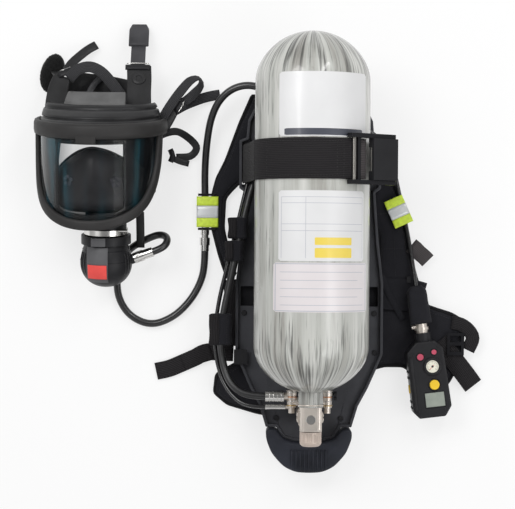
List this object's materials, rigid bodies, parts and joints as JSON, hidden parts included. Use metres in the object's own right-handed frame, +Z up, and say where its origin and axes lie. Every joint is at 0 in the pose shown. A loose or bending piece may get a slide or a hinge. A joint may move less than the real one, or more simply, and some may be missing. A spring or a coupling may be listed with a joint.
{
  "type": "self-contained breathing apparatus",
  "caption": "Back-carried breathing air pack: carrying plate with harness, composite cylinder with valve, reducer, hoses, gauge unit, demand valve and full-face mask.",
  "frame": {"origin": "on the floor, at the flat underside of the back pad, straight below the cylinder's axis", "axes": "+Z up off the floor, +Y along the cylinder towards its domed end, +X towards the gauge unit"},
  "size_m": [0.6345, 0.6395, 0.2066],
  "materials": {
    "carbon_wrap": "clear-coated carbon wrap",
    "aluminium": "plain",
    "valve_metal": "satin nickel",
    "steel": "polished",
    "plate_plastic": "moulded grain",
    "black_plastic": "fine grain",
    "gloss_black": "gloss",
    "rubber": "matt",
    "hose_rubber": "satin",
    "pad_fabric": "woven",
    "webbing": "ribbed webbing",
    "reflective": "reflective tape",
    "visor_clear": "clear",
    "red": "gloss",
    "yellow": "satin",
    "display": "reflective",
    "dial": "printed",
    "felt": "pile"
  },
  "bodies": {
    "root": {"backplate": "plate_plastic", "bumper": "rubber", "back_pad": "pad_fabric", "hip_pads": "pad_fabric", "saddle_pads": "rubber", "plate_rivets": "steel", "cylinder_liner": "aluminium", "cylinder_wrap": "carbon_wrap", "valve_body": "valve_metal", "reducer_body": "valve_metal", "safety_valve": "black_plastic", "hose_ferrules": "steel", "supply_hose": "hose_rubber", "gauge_hose": "hose_rubber", "mask_hose": "hose_rubber", "hose_sleeves": "pad_fabric", "coupler_body": "steel", "band_strap": "webbing", "band_tail": "webbing", "buckle_frame": "gloss_black", "buckle_pins": "steel", "shoulder_pads": "pad_fabric", "shoulder_straps": "webbing", "strap_clips": "black_plastic", "reflective_patches": "reflective", "belt_left": "webbing", "belt_right": "webbing", "belt_buckle": "steel", "gauge_housing": "rubber", "gauge_dial": "dial", "gauge_display": "display", "gauge_lamps": "red", "whistle": "valve_metal", "hose_cover": "pad_fabric", "demand_valve_body": "black_plastic", "demand_valve_panel": "plate_plastic", "demand_diaphragm": "rubber", "valve_collar": "black_plastic"},
    "knob": {"valve_knob": "valve_metal", "valve_spindle": "steel"},
    "coupling": {"coupling_nut": "valve_metal"},
    "piston": {"reducer_piston": "steel"},
    "lever": {"band_lever": "gloss_black"},
    "collar": {"coupler_collar": "steel"},
    "ring": {"triangle_ring": "steel"},
    "front_key": {"front_button": "yellow"},
    "side_key": {"side_button": "yellow"},
    "reset": {"red_button": "red"},
    "latch": {"latch_tab": "plate_plastic"},
    "swivel": {"swivel_nut": "steel"},
    "mask": {"face_blank": "rubber", "visor": "visor_clear", "visor_frame": "black_plastic", "nose_cup": "rubber", "inhale_discs": "rubber", "mask_port": "black_plastic", "clamp_ring": "steel", "harness_straps": "rubber", "harness_buckles": "black_plastic", "head_pad": "felt"}
  },
  "joints": [
    {"name": "cylinder_valve_turn", "type": "hinge", "parent": "root", "child": "knob", "pos_m": [0, -0.253, 0.125], "axis": [0, 1, 0], "range_deg": [0, 720]},
    {"name": "coupling_turn", "type": "hinge", "parent": "root", "child": "coupling", "pos_m": [0, -0.2255, 0.095], "axis": [0, 0, 1], "continuous": true},
    {"name": "reducer_piston_lift", "type": "slide", "parent": "root", "child": "piston", "axis": [0, 0, 1], "range_m": [0, 0.0015], "stiffness_N_per_m": 4000, "springref_m": -0.0003},
    {"name": "band_lever_open", "type": "hinge", "parent": "root", "child": "lever", "pos_m": [0.07882, 0.128, 0.1748], "axis": [0, -1, 0], "range_deg": [0, 110]},
    {"name": "coupler_collar_pull", "type": "slide", "parent": "root", "child": "collar", "axis": [0, 1, 0], "range_m": [0, 0.0038], "stiffness_N_per_m": 600, "springref_m": -0.00114},
    {"name": "ring_swing", "type": "hinge", "parent": "root", "child": "ring", "pos_m": [0.1285, -0.056, 0.0137], "axis": [0, -1, 0], "range_deg": [0, 90]},
    {"name": "front_button_push", "type": "slide", "parent": "root", "child": "front_key", "axis": [0, 0, -1], "range_m": [0, 0.002], "stiffness_N_per_m": 400, "springref_m": -0.0006},
    {"name": "side_button_push", "type": "slide", "parent": "root", "child": "side_key", "axis": [0.9925, 0.1219, 0], "range_m": [0, 0.002], "stiffness_N_per_m": 400, "springref_m": -0.0006},
    {"name": "reset_button_push", "type": "slide", "parent": "root", "child": "reset", "axis": [0, 0.1736, -0.9848], "range_m": [0, 0.0025], "stiffness_N_per_m": 500, "springref_m": -0.00075},
    {"name": "latch_push", "type": "slide", "parent": "root", "child": "latch", "axis": [0, 0.1736, -0.9848], "range_m": [0, 0.002], "stiffness_N_per_m": 500, "springref_m": -0.0006},
    {"name": "hose_swivel_turn", "type": "hinge", "parent": "root", "child": "swivel", "pos_m": [-0.2545, -0.0093, 0.04901], "axis": [0.9397, 0.3368, 0.0594], "continuous": true},
    {"name": "mask_unplug", "type": "slide", "parent": "root", "child": "mask", "axis": [0, 0.9848, 0.1736], "range_m": [0, 0.04]}
  ]
}
